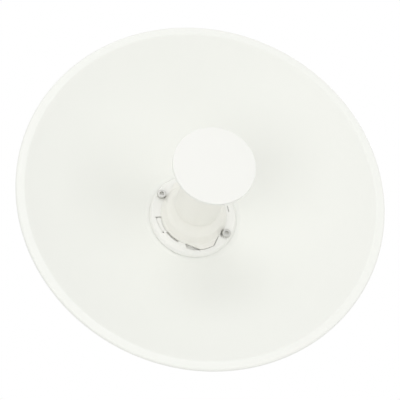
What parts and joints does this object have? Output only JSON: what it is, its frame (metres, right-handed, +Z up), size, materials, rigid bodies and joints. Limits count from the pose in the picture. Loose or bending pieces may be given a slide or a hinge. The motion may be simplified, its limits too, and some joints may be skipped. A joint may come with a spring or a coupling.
{
  "type": "parabolic dish antenna",
  "caption": "Compact parabolic dish antenna for a point-to-point radio link, with a plug-in centre feed, rear radio housing and tilting steel mast bracket.",
  "frame": {"origin": "middle of the mast bracket's flat back face, level with the dish's axis", "axes": "-Y is the way the dish looks along its axis, +Z is up, +X is to the right seen from the front"},
  "size_m": [0.4, 0.2194, 0.4],
  "materials": {
    "reflector_paint": "satin white powder coat",
    "hub_plastic": "moulded white plastic",
    "feed_plastic": "moulded white plastic",
    "rear_plastic": "moulded light grey plastic",
    "housing_plastic": "moulded white plastic",
    "inlet_rubber": "matt black rubber",
    "bracket_steel": "zinc plated pressed steel",
    "screw_steel": "plated steel"
  },
  "bodies": {
    "root": {"reflector": "reflector_paint", "hub_ring": "hub_plastic", "hub_screw_left": "screw_steel", "hub_screw_right": "screw_steel", "feed_base": "feed_plastic", "feed_tube": "feed_plastic", "feed_cap": "feed_plastic", "rear_hub": "rear_plastic", "radio_housing": "housing_plastic", "housing_cover": "housing_plastic", "port_door": "rear_plastic", "cable_inlet": "inlet_rubber", "tilt_bracket": "bracket_steel", "bracket_screw_1": "screw_steel", "bracket_screw_2": "screw_steel", "bracket_screw_3": "screw_steel", "bracket_screw_4": "screw_steel", "earth_screw": "screw_steel", "mast_bracket": "bracket_steel", "pivot_bolt_left": "screw_steel", "pivot_bolt_right": "screw_steel", "lock_bolt_left": "screw_steel", "lock_bolt_right": "screw_steel", "pivot_nut_left": "screw_steel", "pivot_nut_right": "screw_steel", "lock_nut_left": "screw_steel", "lock_nut_right": "screw_steel", "pivot_washer_left": "screw_steel", "pivot_washer_right": "screw_steel", "lock_washer_left": "screw_steel", "lock_washer_right": "screw_steel"}
  },
  "joints": []
}
